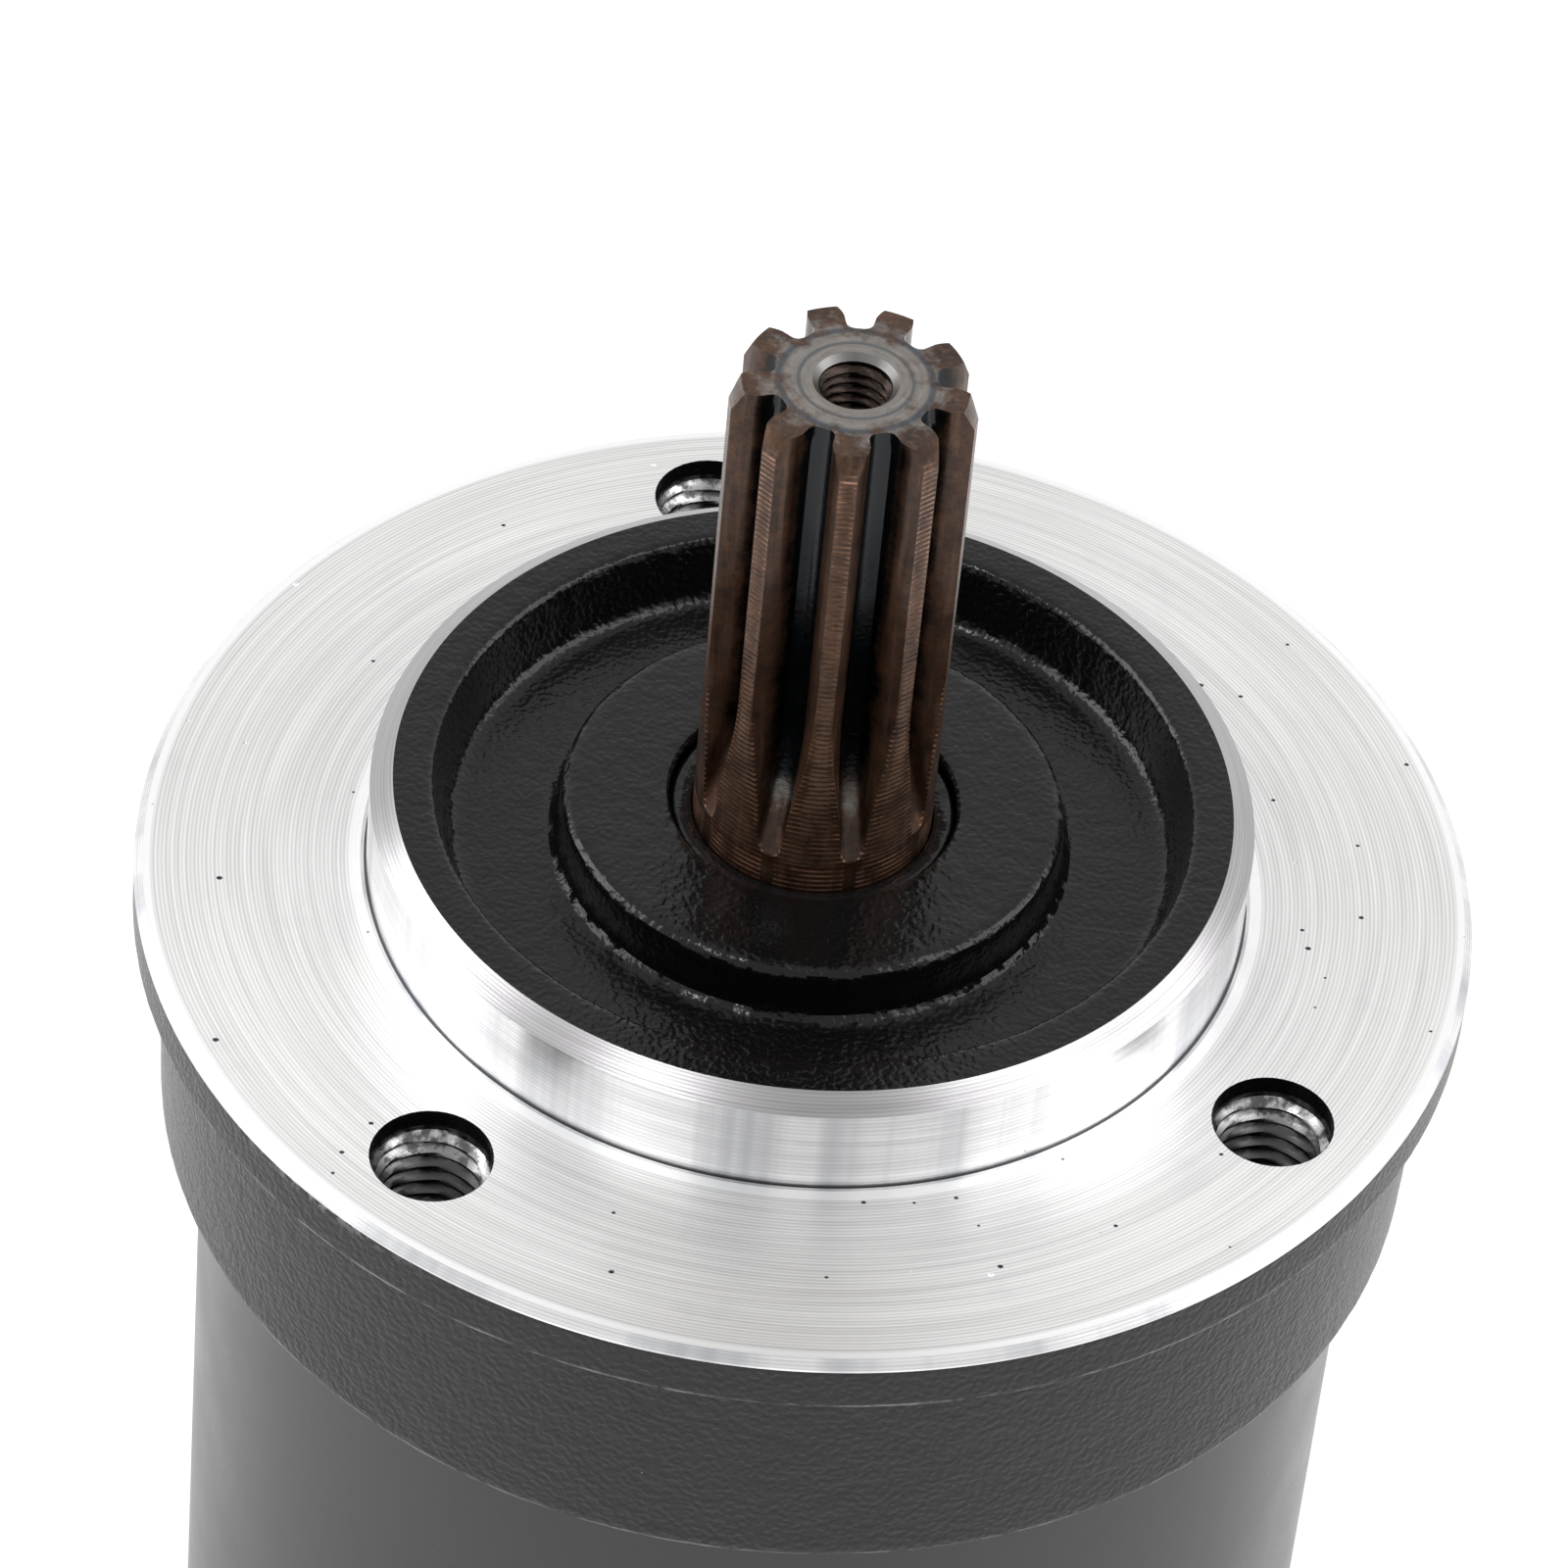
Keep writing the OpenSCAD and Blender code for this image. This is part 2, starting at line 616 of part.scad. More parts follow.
front_housing();
ring_gear_tube();
motor_adapter();
adapter_screws();
access_plug();
front_o_ring();
adapter_o_ring();
output_seal();
output_seal_spring();
input_seal();
front_bearing_outer();
front_bearing_inner();
front_bearing_balls();
front_bearing_cage();
rear_bearing_outer();
rear_bearing_inner();
rear_bearing_balls();
rear_bearing_cage();
input_bearing_outer();
input_bearing_inner();
input_bearing_balls();
input_bearing_cage();
rear_bearing_circlip();
input_bearing_circlip();
shaft_circlip();
input_shaft_circlip();
bearing_spacer();
output_shaft();
output_carrier();
output_carrier_plate();
carrier_screws();
output_planet_pins();
output_thrust_washers();
output_thrust_pad();
output_planet(0);  // output_planet_1
output_planet(1);  // output_planet_2
output_planet(2);  // output_planet_3
output_bush(0);  // output_bush_1
output_bush(1);  // output_bush_2
output_bush(2);  // output_bush_3
output_sun();
input_carrier();
input_planet_pins();
input_thrust_washers();
input_pin_clips();
input_planet(0);  // input_planet_1
input_planet(1);  // input_planet_2
input_planet(2);  // input_planet_3
input_bush(0);  // input_bush_1
input_bush(1);  // input_bush_2
input_bush(2);  // input_bush_3
input_shaft();
clamp_collar();
clamp_screw();
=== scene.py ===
"""Looks of the planetary gearbox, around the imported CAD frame. Lengths are in mm until a mesh is made."""

import math

import bmesh
import bpy
import numpy as np
from mathutils import Matrix, Vector, geometry


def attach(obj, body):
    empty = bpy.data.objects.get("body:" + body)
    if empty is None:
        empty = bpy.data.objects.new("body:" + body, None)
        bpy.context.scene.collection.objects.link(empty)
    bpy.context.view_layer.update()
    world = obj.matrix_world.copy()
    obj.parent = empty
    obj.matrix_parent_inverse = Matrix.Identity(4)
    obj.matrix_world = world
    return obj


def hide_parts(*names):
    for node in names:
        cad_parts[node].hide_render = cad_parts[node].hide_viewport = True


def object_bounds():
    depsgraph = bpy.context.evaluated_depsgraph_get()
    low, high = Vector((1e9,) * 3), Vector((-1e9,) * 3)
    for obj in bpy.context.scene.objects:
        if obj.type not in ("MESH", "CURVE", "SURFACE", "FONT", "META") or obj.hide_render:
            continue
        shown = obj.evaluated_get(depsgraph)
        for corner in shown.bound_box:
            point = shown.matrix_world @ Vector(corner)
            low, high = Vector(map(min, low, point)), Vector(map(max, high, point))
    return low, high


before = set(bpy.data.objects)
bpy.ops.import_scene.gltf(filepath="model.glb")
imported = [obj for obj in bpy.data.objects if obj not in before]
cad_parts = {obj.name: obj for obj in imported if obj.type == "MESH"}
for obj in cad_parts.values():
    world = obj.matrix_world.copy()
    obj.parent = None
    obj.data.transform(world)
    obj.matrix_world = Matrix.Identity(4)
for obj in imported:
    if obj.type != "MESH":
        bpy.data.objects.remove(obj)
CAD_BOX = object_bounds()
MM = 0.001
TAU = 2 * math.pi
LATTICE = np.random.RandomState(11).rand(32, 32, 32)
TEETH, FIRST_TOOTH = 9, math.radians(31)


# ---------------------------------------------------------------- mesh helpers


def value_noise(points, size):
    """Smooth noise from -1 to 1 at each point, with lumps about that size."""
    q = points / size
    i = np.floor(q).astype(int)
    f = q - i
    f = f * f * (3 - 2 * f)
    total = np.zeros(len(points))
    for corner in np.ndindex(2, 2, 2):
        weight = np.prod(np.where(np.array(corner), f, 1 - f), axis=1)
        total += weight * LATTICE[tuple(((i + corner) % 32).T)]
    return 2 * total - 1


def circle(r, z, n, centre=(0.0, 0.0)):
    a = np.arange(n) * TAU / n
    return np.column_stack([centre[0] + r * np.cos(a), centre[1] + r * np.sin(a), np.full(n, float(z))])


def contour(corners, step):
    """Points along a path through corners (r, z, fillet radius), no further than step apart."""
    pts = [np.array(corners[0][:2], float)]
    for k in range(1, len(corners)):
        here = np.array(corners[k][:2], float)
        ahead = []
        target = here
        if k < len(corners) - 1 and corners[k][2] > 0:
            back = np.array(corners[k - 1][:2], float) - here
            on = np.array(corners[k + 1][:2], float) - here
            back, on = back / np.linalg.norm(back), on / np.linalg.norm(on)
            half = math.acos(max(-1, min(1, back @ on))) / 2
            reach = corners[k][2] / math.tan(half)
            middle = here + (back + on) / np.linalg.norm(back + on) * corners[k][2] / math.sin(half)
            target = here + back * reach
            a, b = target - middle, here + on * reach - middle
            swing = math.pi - 2 * half
            n = max(3, int(math.ceil(swing * corners[k][2] / step)))
            for j in range(1, n + 1):
                t = j / n
                arm = a * math.sin((1 - t) * swing) + b * math.sin(t * swing)
                ahead.append(middle + arm / math.sin(swing))
        gap = np.linalg.norm(target - pts[-1])
        n = max(1, int(math.ceil(gap / step)))
        start = pts[-1]
        pts += [start + (target - start) * j / n for j in range(1, n + 1)]
        pts += ahead
    return np.array(pts)


class Shell:
    """Points and faces with material numbers, gathered into one mesh."""

    def __init__(self):
        self.points, self.faces, self.slots, self.count = [], [], [], 0

    def add(self, points):
        self.points.append(np.asarray(points, float))
        self.count += len(points)
        return np.arange(self.count - len(points), self.count)

    def face(self, faces, slot):
        self.faces += [tuple(int(x) for x in f) for f in faces]
        self.slots += [slot] * len(faces)

    def band(self, a, b, slot):
        """Quads between two closed loops with as many points each."""
        self.face(np.stack([a, np.roll(a, -1), np.roll(b, -1), b], 1), slot)

    def rings(self, path, n, slot, first=None):
        """Turned surface along a path of (r, z). first is a loop that already exists at its start."""
        loops = []
        for k, (r, z) in enumerate(path):
            if k == 0 and first is not None:
                loops.append(first)
            else:
                loops.append(self.add(circle(r, z, n)))
        for a, b in zip(loops, loops[1:]):
            self.band(a, b, slot)
        return loops

    def thin_out(self, fine, coarse, slot):
        """Triangles from a loop to one with a quarter of its points."""
        n = len(fine)
        for j in range(len(coarse)):
            c, d = coarse[j], coarse[(j + 1) % len(coarse)]
            f = [fine[(4 * j + k) % n] for k in range(5)]
            fan = [(f[0], f[1], c), (f[1], f[2], c), (c, f[2], d), (f[2], f[3], d), (f[3], f[4], d)]
            self.face(fan, slot)

    def cap(self, loop, slot):
        pts = np.concatenate(self.points)[loop]
        c = self.add([pts.mean(0)])[0]
        self.face([(a, b, c) for a, b in zip(loop, np.roll(loop, -1))], slot)

    def make(self, name, body, materials, sharp=35, flat=()):
        co = np.concatenate(self.points)
        mesh = bpy.data.meshes.new(name)
        mesh.from_pydata((co * MM).tolist(), [], self.faces)
        mesh.polygons.foreach_set("material_index", self.slots)
        bm = bmesh.new()
        bm.from_mesh(mesh)
        bmesh.ops.recalc_face_normals(bm, faces=bm.faces)
        bm.to_mesh(mesh)
        bm.free()
        mesh.polygons.foreach_set("use_smooth", [p.material_index not in flat for p in mesh.polygons])
        mesh.set_sharp_from_angle(angle=math.radians(sharp))
        for m in materials:
            mesh.materials.append(m)
        obj = bpy.data.objects.new(name, mesh)
        bpy.context.scene.collection.objects.link(obj)
        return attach(obj, body)


def flat_region(shell, loops, extra, inside, z_of, slot, low_z=0.0, low_slot=None):
    """Triangles over a flat region between loops and through the loose extra points, where inside says so."""
    co = np.concatenate(shell.points)
    ids, verts, edges = [], [], []
    for loop in loops:
        n0 = len(verts)
        verts += [Vector(co[i][:2]) for i in loop]
        ids += list(loop)
        edges += [(n0 + k, n0 + (k + 1) % len(loop)) for k in range(len(loop))]
    if len(extra):
        new = shell.add(np.column_stack([extra, z_of(extra)]))
        verts += [Vector(p) for p in extra]
        ids += list(new)
    out = geometry.delaunay_2d_cdt(verts, edges, [], 0, 1e-7, True)
    points, faces, source = out[0], out[2], out[3]
    for f in faces:
        c = sum((points[i] for i in f), Vector((0, 0))) / len(f)
        if inside(c):
            low = low_slot is not None and min(z_of(np.array([points[i] for i in f]))) < low_z
            shell.face([tuple(ids[source[i][0]] for i in f)], low_slot if low else slot)


# ------------------------------------------------------------ material helpers


class Paint:
    """A procedural material under construction. Coordinates are the object's own, in mm."""

    def __init__(self, name, colour, metallic=0.0, roughness=0.5, **sockets):
        self.mat = bpy.data.materials.new(name)
        self.mat.use_nodes = True
        self.tree = self.mat.node_tree
        self.bsdf = self.tree.nodes["Principled BSDF"]
        self.set("Base Color", (*colour, 1))
        self.set("Metallic", metallic)
        self.set("Roughness", roughness)
        for key, value in sockets.items():
            self.set(key.replace("_", " "), value)
        coord = self.tree.nodes.new("ShaderNodeTexCoord").outputs["Object"]
        self.p = self.scaled(coord, 1 / MM)
        split = self.tree.nodes.new("ShaderNodeSeparateXYZ")
        self.tree.links.new(self.p, split.inputs[0])
        self.x, self.y, self.z = split.outputs
        self.r = self.math("SQRT", self.plus(self.times(self.x, self.x), self.times(self.y, self.y)))
        self.a = self.math("ARCTAN2", self.y, self.x)
        off_axis = self.math("MAXIMUM", self.r, 0.01)
        self.cos = self.math("DIVIDE", self.x, off_axis)
        self.sin = self.math("DIVIDE", self.y, off_axis)

    def plug(self, socket, value):
        if isinstance(value, bpy.types.NodeSocket):
            self.tree.links.new(value, socket)
        else:
            socket.default_value = value

    def set(self, name, value):
        self.plug(self.bsdf.inputs[name], value)

    def math(self, op, a, b=0.0):
        n = self.tree.nodes.new("ShaderNodeMath")
        n.operation = op
        self.plug(n.inputs[0], a)
        self.plug(n.inputs[1], b)
        return n.outputs[0]

    def times(self, a, b):
        return self.math("MULTIPLY", a, b)

    def plus(self, a, b):
        return self.math("ADD", a, b)

    def minus(self, a, b):
        return self.math("SUBTRACT", a, b)

    def scaled(self, vector, factor):
        n = self.tree.nodes.new("ShaderNodeVectorMath")
        n.operation = "SCALE"
        self.plug(n.inputs[0], vector)
        n.inputs["Scale"].default_value = factor
        return n.outputs[0]

    def xyz(self, x=0.0, y=0.0, z=0.0):
        n = self.tree.nodes.new("ShaderNodeCombineXYZ")
        for socket, value in zip(n.inputs, (x, y, z)):
            self.plug(socket, value)
        return n.outputs[0]

    def fit(self, value, lo, hi, to_lo=0.0, to_hi=1.0, smooth=False):
        n = self.tree.nodes.new("ShaderNodeMapRange")
        n.interpolation_type = "SMOOTHSTEP" if smooth else "LINEAR"
        for socket, v in zip(n.inputs, (value, lo, hi, to_lo, to_hi)):
            self.plug(socket, v)
        return n.outputs[0]

    def noise(self, size, detail=2.0, rough=0.5, at=None):
        n = self.tree.nodes.new("ShaderNodeTexNoise")
        self.plug(n.inputs["Vector"], self.p if at is None else at)
        n.inputs["Scale"].default_value = 1 / size
        n.inputs["Detail"].default_value = detail
        n.inputs["Roughness"].default_value = rough
        return n.outputs[0]

    def spots(self, spacing, radius, share):
        """Mask of small round spots: one per cell of that spacing, in that share of the cells."""
        n = self.tree.nodes.new("ShaderNodeTexVoronoi")
        self.plug(n.inputs["Vector"], self.p)
        n.inputs["Scale"].default_value = 1 / spacing
        near = self.fit(n.outputs["Distance"], radius / spacing, 0.55 * radius / spacing)
        pick = self.tree.nodes.new("ShaderNodeSeparateXYZ")
        self.tree.links.new(n.outputs["Color"], pick.inputs[0])
        return self.times(near, self.math("LESS_THAN", pick.outputs[0], share))

    def between(self, value, lo, hi, soft):
        """Mask that is 1 where lo < value < hi."""
        up = self.fit(value, lo - soft, lo + soft)
        down = self.fit(value, hi + soft, hi - soft)
        return self.times(up, down)

    def mix(self, factor, a, b):
        n = self.tree.nodes.new("ShaderNodeMix")
        n.data_type = "RGBA"
        self.plug(n.inputs["Factor"], factor)
        self.plug(n.inputs[6], a if isinstance(a, bpy.types.NodeSocket) else (*a, 1))
        self.plug(n.inputs[7], b if isinstance(b, bpy.types.NodeSocket) else (*b, 1))
        return n.outputs[2]

    def round_about(self, across, size, along=1.0, detail=2.0):
        """Noise drawn out round the Z axis, in lines of that size across it."""
        turn = size * along
        at = self.xyz(across, self.times(self.cos, turn), self.times(self.sin, turn))
        return self.noise(size, detail, 0.55, at)

    def bump(self, height, depth, strength=1.0):
        """Height from 0 to 1 raised by depth in mm. Bumps stack in the order they're made."""
        n = self.tree.nodes.new("ShaderNodeBump")
        n.inputs["Strength"].default_value = strength
        n.inputs["Distance"].default_value = depth * MM
        self.plug(n.inputs["Height"], height)
        normal = self.bsdf.inputs["Normal"]
        if normal.is_linked:
            self.tree.links.new(normal.links[0].from_socket, n.inputs["Normal"])
        self.set("Normal", n.outputs[0])

    def turned(self, anisotropy):
        """Reflections stretched across the circular tool marks round the Z axis."""
        n = self.tree.nodes.new("ShaderNodeTangent")
        n.direction_type, n.axis = "RADIAL", "Z"
        self.set("Tangent", n.outputs[0])
        self.set("Anisotropic", anisotropy)
        self.set("Anisotropic Rotation", 0.25)


def turned_aluminium(name, pitch, roughness, colour=(0.80, 0.80, 0.80), marks=0.5, stretch=0.6):
    """Lathe-cut aluminium: rings at that pitch, small casting pores and faint stains."""
    m = Paint(name, colour, metallic=1.0)
    m.turned(stretch)
    across = m.minus(m.r, m.z)
    ring = m.round_about(across, pitch * 1.4, 2.0, 1.0)
    broad = m.round_about(across, 2.2, 1.4)
    feed = m.math("SINE", m.times(across, TAU / pitch))
    stain = m.noise(7.0, 3.0, 0.6)
    pores = m.spots(2.6, 0.17, 0.11)
    pits = m.spots(7.5, 0.34, 0.16)
    holes = m.math("MAXIMUM", pores, pits)
    cut = m.plus(m.fit(feed, -1, 1, 0.0, marks), m.fit(ring, 0.3, 0.7, 0.0, 1.0 - marks))
    tone = m.mix(cut, tuple(c * 0.72 for c in colour), tuple(min(1, c * 1.12) for c in colour))
    tone = m.mix(m.fit(broad, 0.4, 0.7, 0.0, 0.10), tone, tuple(c * 0.80 for c in colour))
    m.tone = m.mix(m.fit(stain, 0.60, 0.8, 0.0, 0.25), tone, (0.55, 0.55, 0.56))
    m.holes = holes
    m.set("Base Color", m.mix(holes, m.tone, (0.06, 0.06, 0.065)))
    m.set("Roughness", m.fit(broad, 0.3, 0.75, roughness - 0.03, roughness + 0.04))
    m.bump(cut, 0.008, 0.8)
    m.bump(m.minus(1.0, holes), 0.05, 0.8)
    return m


def textured_paint(name, colour, roughness, grain, depth, fleck=0.02):
    """Paint over a sand-cast skin: leathery bumps of that size, with dust specks."""
    m = Paint(name, colour, roughness=roughness)
    coarse = m.fit(m.noise(grain, 0.0, 0.4), 0.3, 0.7, smooth=True)
    fine = m.noise(grain * 0.42, 1.0, 0.5)
    cloud = m.noise(9.0, 3.0, 0.5)
    specks = m.spots(1.7, 0.07, fleck)
    tone = m.mix(m.fit(cloud, 0.3, 0.7), tuple(c * 0.88 for c in colour), tuple(c * 1.14 for c in colour))
    # Painted shade: the hollows of the coarse bumps are coloured darker
    tone = m.mix(m.fit(coarse, 0.25, 0.5, 0.25, 0.0), tone, tuple(c * 0.6 for c in colour))
    m.tone = m.mix(specks, tone, (0.30, 0.29, 0.28))
    m.set("Base Color", m.tone)
    m.set("Roughness", m.fit(fine, 0.3, 0.7, roughness - 0.05, roughness + 0.09))
    m.bump(coarse, depth)
    m.bump(fine, depth * 0.42)
    return m


def machined_steel(name, colour, roughness, line, depth=0.004, oil=0.0):
    """Bare machined steel: fine lines of that size and oil stains."""
    m = Paint(name, colour, metallic=1.0, Coat_Weight=oil, Coat_Roughness=0.12)
    across = m.minus(m.r, m.z)
    lines = m.round_about(across, line, 3.0)
    stain = m.noise(5.0, 4.0, 0.6)
    tone = m.mix(lines, tuple(c * 0.82 for c in colour), tuple(min(1.0, c * 1.12) for c in colour))
    m.tone = m.mix(m.fit(stain, 0.5, 0.75, 0.0, 0.4), tone, tuple(c * 0.55 for c in colour))
    m.set("Base Color", m.tone)
    m.set("Roughness", m.fit(stain, 0.3, 0.7, roughness - 0.06, roughness + 0.08))
    m.bump(lines, depth, 0.6)
    return m


# -------------------------------------------------------------------- materials

face_metal = turned_aluminium("turned_face", 0.27, 0.42, colour=(0.88, 0.875, 0.87), marks=0.6)

# Painted highlight: the face is coloured near white in a band along each of its two edges
inner_highlight_band = face_metal.between(face_metal.r, 29.0, 30.7, 0.05)
outer_highlight_band = face_metal.between(face_metal.r, 43.9, 46.0, 0.05)
edge_highlight_mask = face_metal.math("MAXIMUM", inner_highlight_band, outer_highlight_band)
face_tone_with_highlight = face_metal.mix(edge_highlight_mask, face_metal.tone, (1.0, 1.0, 1.0))
face_metal.set("Base Color", face_metal.mix(face_metal.holes, face_tone_with_highlight, (0.06, 0.06, 0.065)))
# Painted shade: the chamfer is the same turned aluminium in a darker colour
shaded_chamfer_metal = turned_aluminium("turned_chamfer_painted_shade", 0.34, 0.30, colour=(0.45, 0.44, 0.45), stretch=0.4)

# The pilot's wall is streaked along its axis, and the undercut at its foot is painted dark as shade
spigot_metal = turned_aluminium("turned_spigot", 0.34, 0.30, colour=(0.92, 0.92, 0.93), stretch=0.5)
spigot = spigot_metal
around = spigot.xyz(spigot.times(spigot.cos, 6.0), spigot.times(spigot.sin, 6.0), 0.0)
streaks = spigot.noise(1.0, 4.0, 0.6, around)
shaded = spigot.mix(spigot.fit(streaks, 0.44, 0.70), spigot.tone, (0.50, 0.51, 0.54))
undercut_painted_shade = spigot.times(spigot.fit(spigot.z, -0.01, -0.06), spigot.math("LESS_THAN", spigot.r, 31.0))
shaded = spigot.mix(undercut_painted_shade, shaded, (0.12, 0.12, 0.125))
spigot.set("Base Color", shaded)
recess_paint = textured_paint("recess_paint", (0.0020, 0.0020, 0.0024), 0.19, 0.40, 0.022, 0.03)
wall_paint = textured_paint("wall_paint", (0.0075, 0.0072, 0.0078), 0.31, 0.46, 0.030, 0.03)
for paint in (recess_paint, wall_paint):
    paint.set("Specular IOR Level", 0.33)

# Worn edges of the cast wall, where paint has rubbed down to metal
worn = wall_paint
rim_foot, wall_foot = worn.between(worn.z, -4.08, -3.72, 0.05), worn.between(worn.z, -20.95, -20.55, 0.06)
edge = worn.math("MAXIMUM", rim_foot, wall_foot)
rubbed = worn.fit(worn.noise(3.2, 4.0, 0.65), 0.42, 0.62)
chip_zone = worn.times(worn.between(worn.a, -2.42, -2.12, 0.08), worn.fit(worn.z, -1.5, -0.6))
chips = worn.times(chip_zone, worn.fit(worn.noise(0.8, 3.0, 0.6), 0.5, 0.56))
bare = worn.math("MAXIMUM", worn.times(edge, rubbed), chips)
rim_shade = worn.fit(worn.z, -4.0, -3.6, 0.0, 0.32)
shaded = worn.mix(rim_shade, worn.tone, (0.012, 0.0115, 0.0125))
worn.set("Base Color", worn.mix(bare, shaded, (0.17, 0.17, 0.17)))

thread_metal = machined_steel("tapped_aluminium", (0.62, 0.62, 0.62), 0.26, 0.12, 0.02)
soot = thread_metal.noise(0.9, 3.0, 0.6)
# Painted shade: the threads darken towards the bottom of each hole, besides the random soot
deep_painted_shade = thread_metal.fit(thread_metal.z, -4.5, -1.6, 0.9, 0.0)
dirt = thread_metal.times(thread_metal.fit(soot, 0.40, 0.60), 0.85)
thread_metal.set(
    "Base Color",
    thread_metal.mix(thread_metal.math("MAXIMUM", dirt, deep_painted_shade), thread_metal.tone, (0.03, 0.03, 0.03)),
)
bored_metal = turned_aluminium("bored_aluminium", 0.2, 0.36)
pore = textured_paint("casting_pore", (0.03, 0.03, 0.032), 0.6, 0.1, 0.02, 0.0)

tube_paint = Paint("tube_paint", (0.016, 0.016, 0.017), roughness=0.3)
haze = tube_paint.noise(11.0, 4.0, 0.6)
peel = tube_paint.noise(0.9, 2.0, 0.5)
tube_dust = tube_paint.spots(2.2, 0.07, 0.05)
tone = tube_paint.mix(tube_paint.fit(haze, 0.3, 0.7), (0.013, 0.013, 0.014), (0.019, 0.0185, 0.020))
tube_paint.set("Base Color", tube_paint.mix(tube_dust, tone, (0.3, 0.3, 0.3)))
tube_paint.set("Roughness", tube_paint.fit(haze, 0.25, 0.75, 0.24, 0.34))
tube_paint.bump(peel, 0.006)

adapter_paint = textured_paint("adapter_paint", (0.062, 0.062, 0.065), 0.45, 0.55, 0.035)

gear_steel = machined_steel("gear_steel", (0.46, 0.46, 0.47), 0.30, 0.22, 0.005, oil=0.35)
bearing_steel = machined_steel("bearing_steel", (0.62, 0.62, 0.63), 0.16, 0.1, 0.001, oil=0.2)
cage_brass = machined_steel("cage_brass", (0.62, 0.47, 0.22), 0.30, 0.15, 0.003, oil=0.2)
spring_steel = machined_steel("spring_steel", (0.13, 0.12, 0.12), 0.35, 0.12, 0.003, oil=0.3)
black_steel = machined_steel("black_oxide_steel", (0.045, 0.045, 0.05), 0.36, 0.18, 0.004, oil=0.2)
bronze = machined_steel("bronze", (0.56, 0.37, 0.18), 0.32, 0.2, 0.004, oil=0.25)
nylon = textured_paint("nylon", (0.62, 0.58, 0.46), 0.48, 0.7, 0.01, 0.0)
rubber = textured_paint("rubber", (0.016, 0.016, 0.017), 0.42, 0.5, 0.012, 0.05)

oily_rubber = Paint("oily_seal", (0.003, 0.004, 0.005), roughness=0.12, Specular_IOR_Level=0.30)
ripple = oily_rubber.noise(1.6, 3.0, 0.55)
oily_rubber.set("Roughness", oily_rubber.fit(ripple, 0.3, 0.7, 0.05, 0.18))
oily_rubber.set("Base Color", oily_rubber.mix(ripple, (0.002, 0.003, 0.005), (0.010, 0.010, 0.010)))
oily_rubber.bump(ripple, 0.22)

# Phosphated steel of the pinion: brown flanks, blue-black roots, painted highlights on the lands' tool marks
# and at the flutes' run-outs, and a rubbed end face
pinion = Paint("phosphated_steel", (0.12, 0.07, 0.045), metallic=0.75, Coat_Weight=0.3, Coat_Roughness=0.1)
cloud = pinion.noise(2.2, 4.0, 0.6)
grit = pinion.noise(0.35, 3.0, 0.6)
streak = pinion.noise(0.5, 2.0, 0.5, pinion.xyz(pinion.x, pinion.y, pinion.times(pinion.z, 0.08)))
brown = pinion.mix(pinion.fit(cloud, 0.3, 0.7), (0.026, 0.012, 0.0065), (0.095, 0.044, 0.022))
brown = pinion.mix(pinion.fit(grit, 0.45, 0.72, 0.0, 0.7), brown, (0.016, 0.011, 0.009))
brown = pinion.mix(pinion.fit(streak, 0.5, 0.8, 0.0, 0.5), brown, (0.17, 0.095, 0.060))
end = pinion.between(pinion.z, 42.95, 44.0, 0.02)
root = pinion.fit(pinion.plus(pinion.r, pinion.fit(cloud, 0.3, 0.7, -0.5, 0.5)), 6.7, 5.8)
root = pinion.times(root, pinion.minus(1.0, end))
skin = pinion.mix(root, brown, (0.004, 0.006, 0.008))
# Painted highlight: the roots near the flutes' run-outs are coloured light grey
low = pinion.fit(pinion.z, 13.5, 9.5)
skin = pinion.mix(pinion.times(root, low), skin, (0.72, 0.72, 0.66))
saw = pinion.math("FRACT", pinion.math("DIVIDE", pinion.z, 0.42))
tick = pinion.between(saw, 0.30, 0.62, 0.12)
turns = pinion.math("DIVIDE", pinion.minus(pinion.a, FIRST_TOOTH), TAU / TEETH)
off_tooth = pinion.math("ABSOLUTE", pinion.minus(pinion.math("FRACT", pinion.plus(turns, 20.5)), 0.5))
widen = pinion.fit(pinion.z, 20.0, 8.5, 0.10, 0.42)
on_tooth = pinion.math("LESS_THAN", off_tooth, widen)
# Painted highlight: coppery glints on the tool marks of the lands
land = pinion.times(pinion.between(pinion.r, 7.86, 9.0, 0.06), on_tooth)
tick_highlight_breakup = pinion.fit(pinion.noise(1.6, 4.0, 0.65), 0.42, 0.60)
tick_painted_highlight = pinion.times(pinion.times(land, tick), pinion.fit(tick_highlight_breakup, 0.0, 1.0, 0.15, 1.0))
skin = pinion.mix(tick_painted_highlight, skin, (0.46, 0.25, 0.155))
end_ring = pinion.round_about(pinion.r, 0.25, 2.0)
ragged = pinion.fit(pinion.noise(1.3, 4.0, 0.65), 0.25, 0.75, -2.0, 2.0)
end_wear = pinion.fit(pinion.plus(pinion.r, ragged), 6.2, 4.0, 0.0, 0.85)
grey = pinion.mix(end_ring, (0.12, 0.11, 0.10), (0.34, 0.32, 0.30))
grey = pinion.mix(pinion.between(pinion.r, 4.7, 5.15, 0.1), grey, (0.07, 0.09, 0.11))
grey = pinion.mix(pinion.between(pinion.r, 3.55, 3.8, 0.08), grey, (0.10, 0.11, 0.12))
skin = pinion.mix(pinion.times(end, end_wear), skin, grey)
pinion.set("Base Color", skin)
pinion.set("Roughness", pinion.fit(pinion.plus(grit, pinion.times(root, -0.9)), -0.4, 0.9, 0.12, 0.5))
pinion.bump(grit, 0.018)
pinion.bump(cloud, 0.05, 0.6)

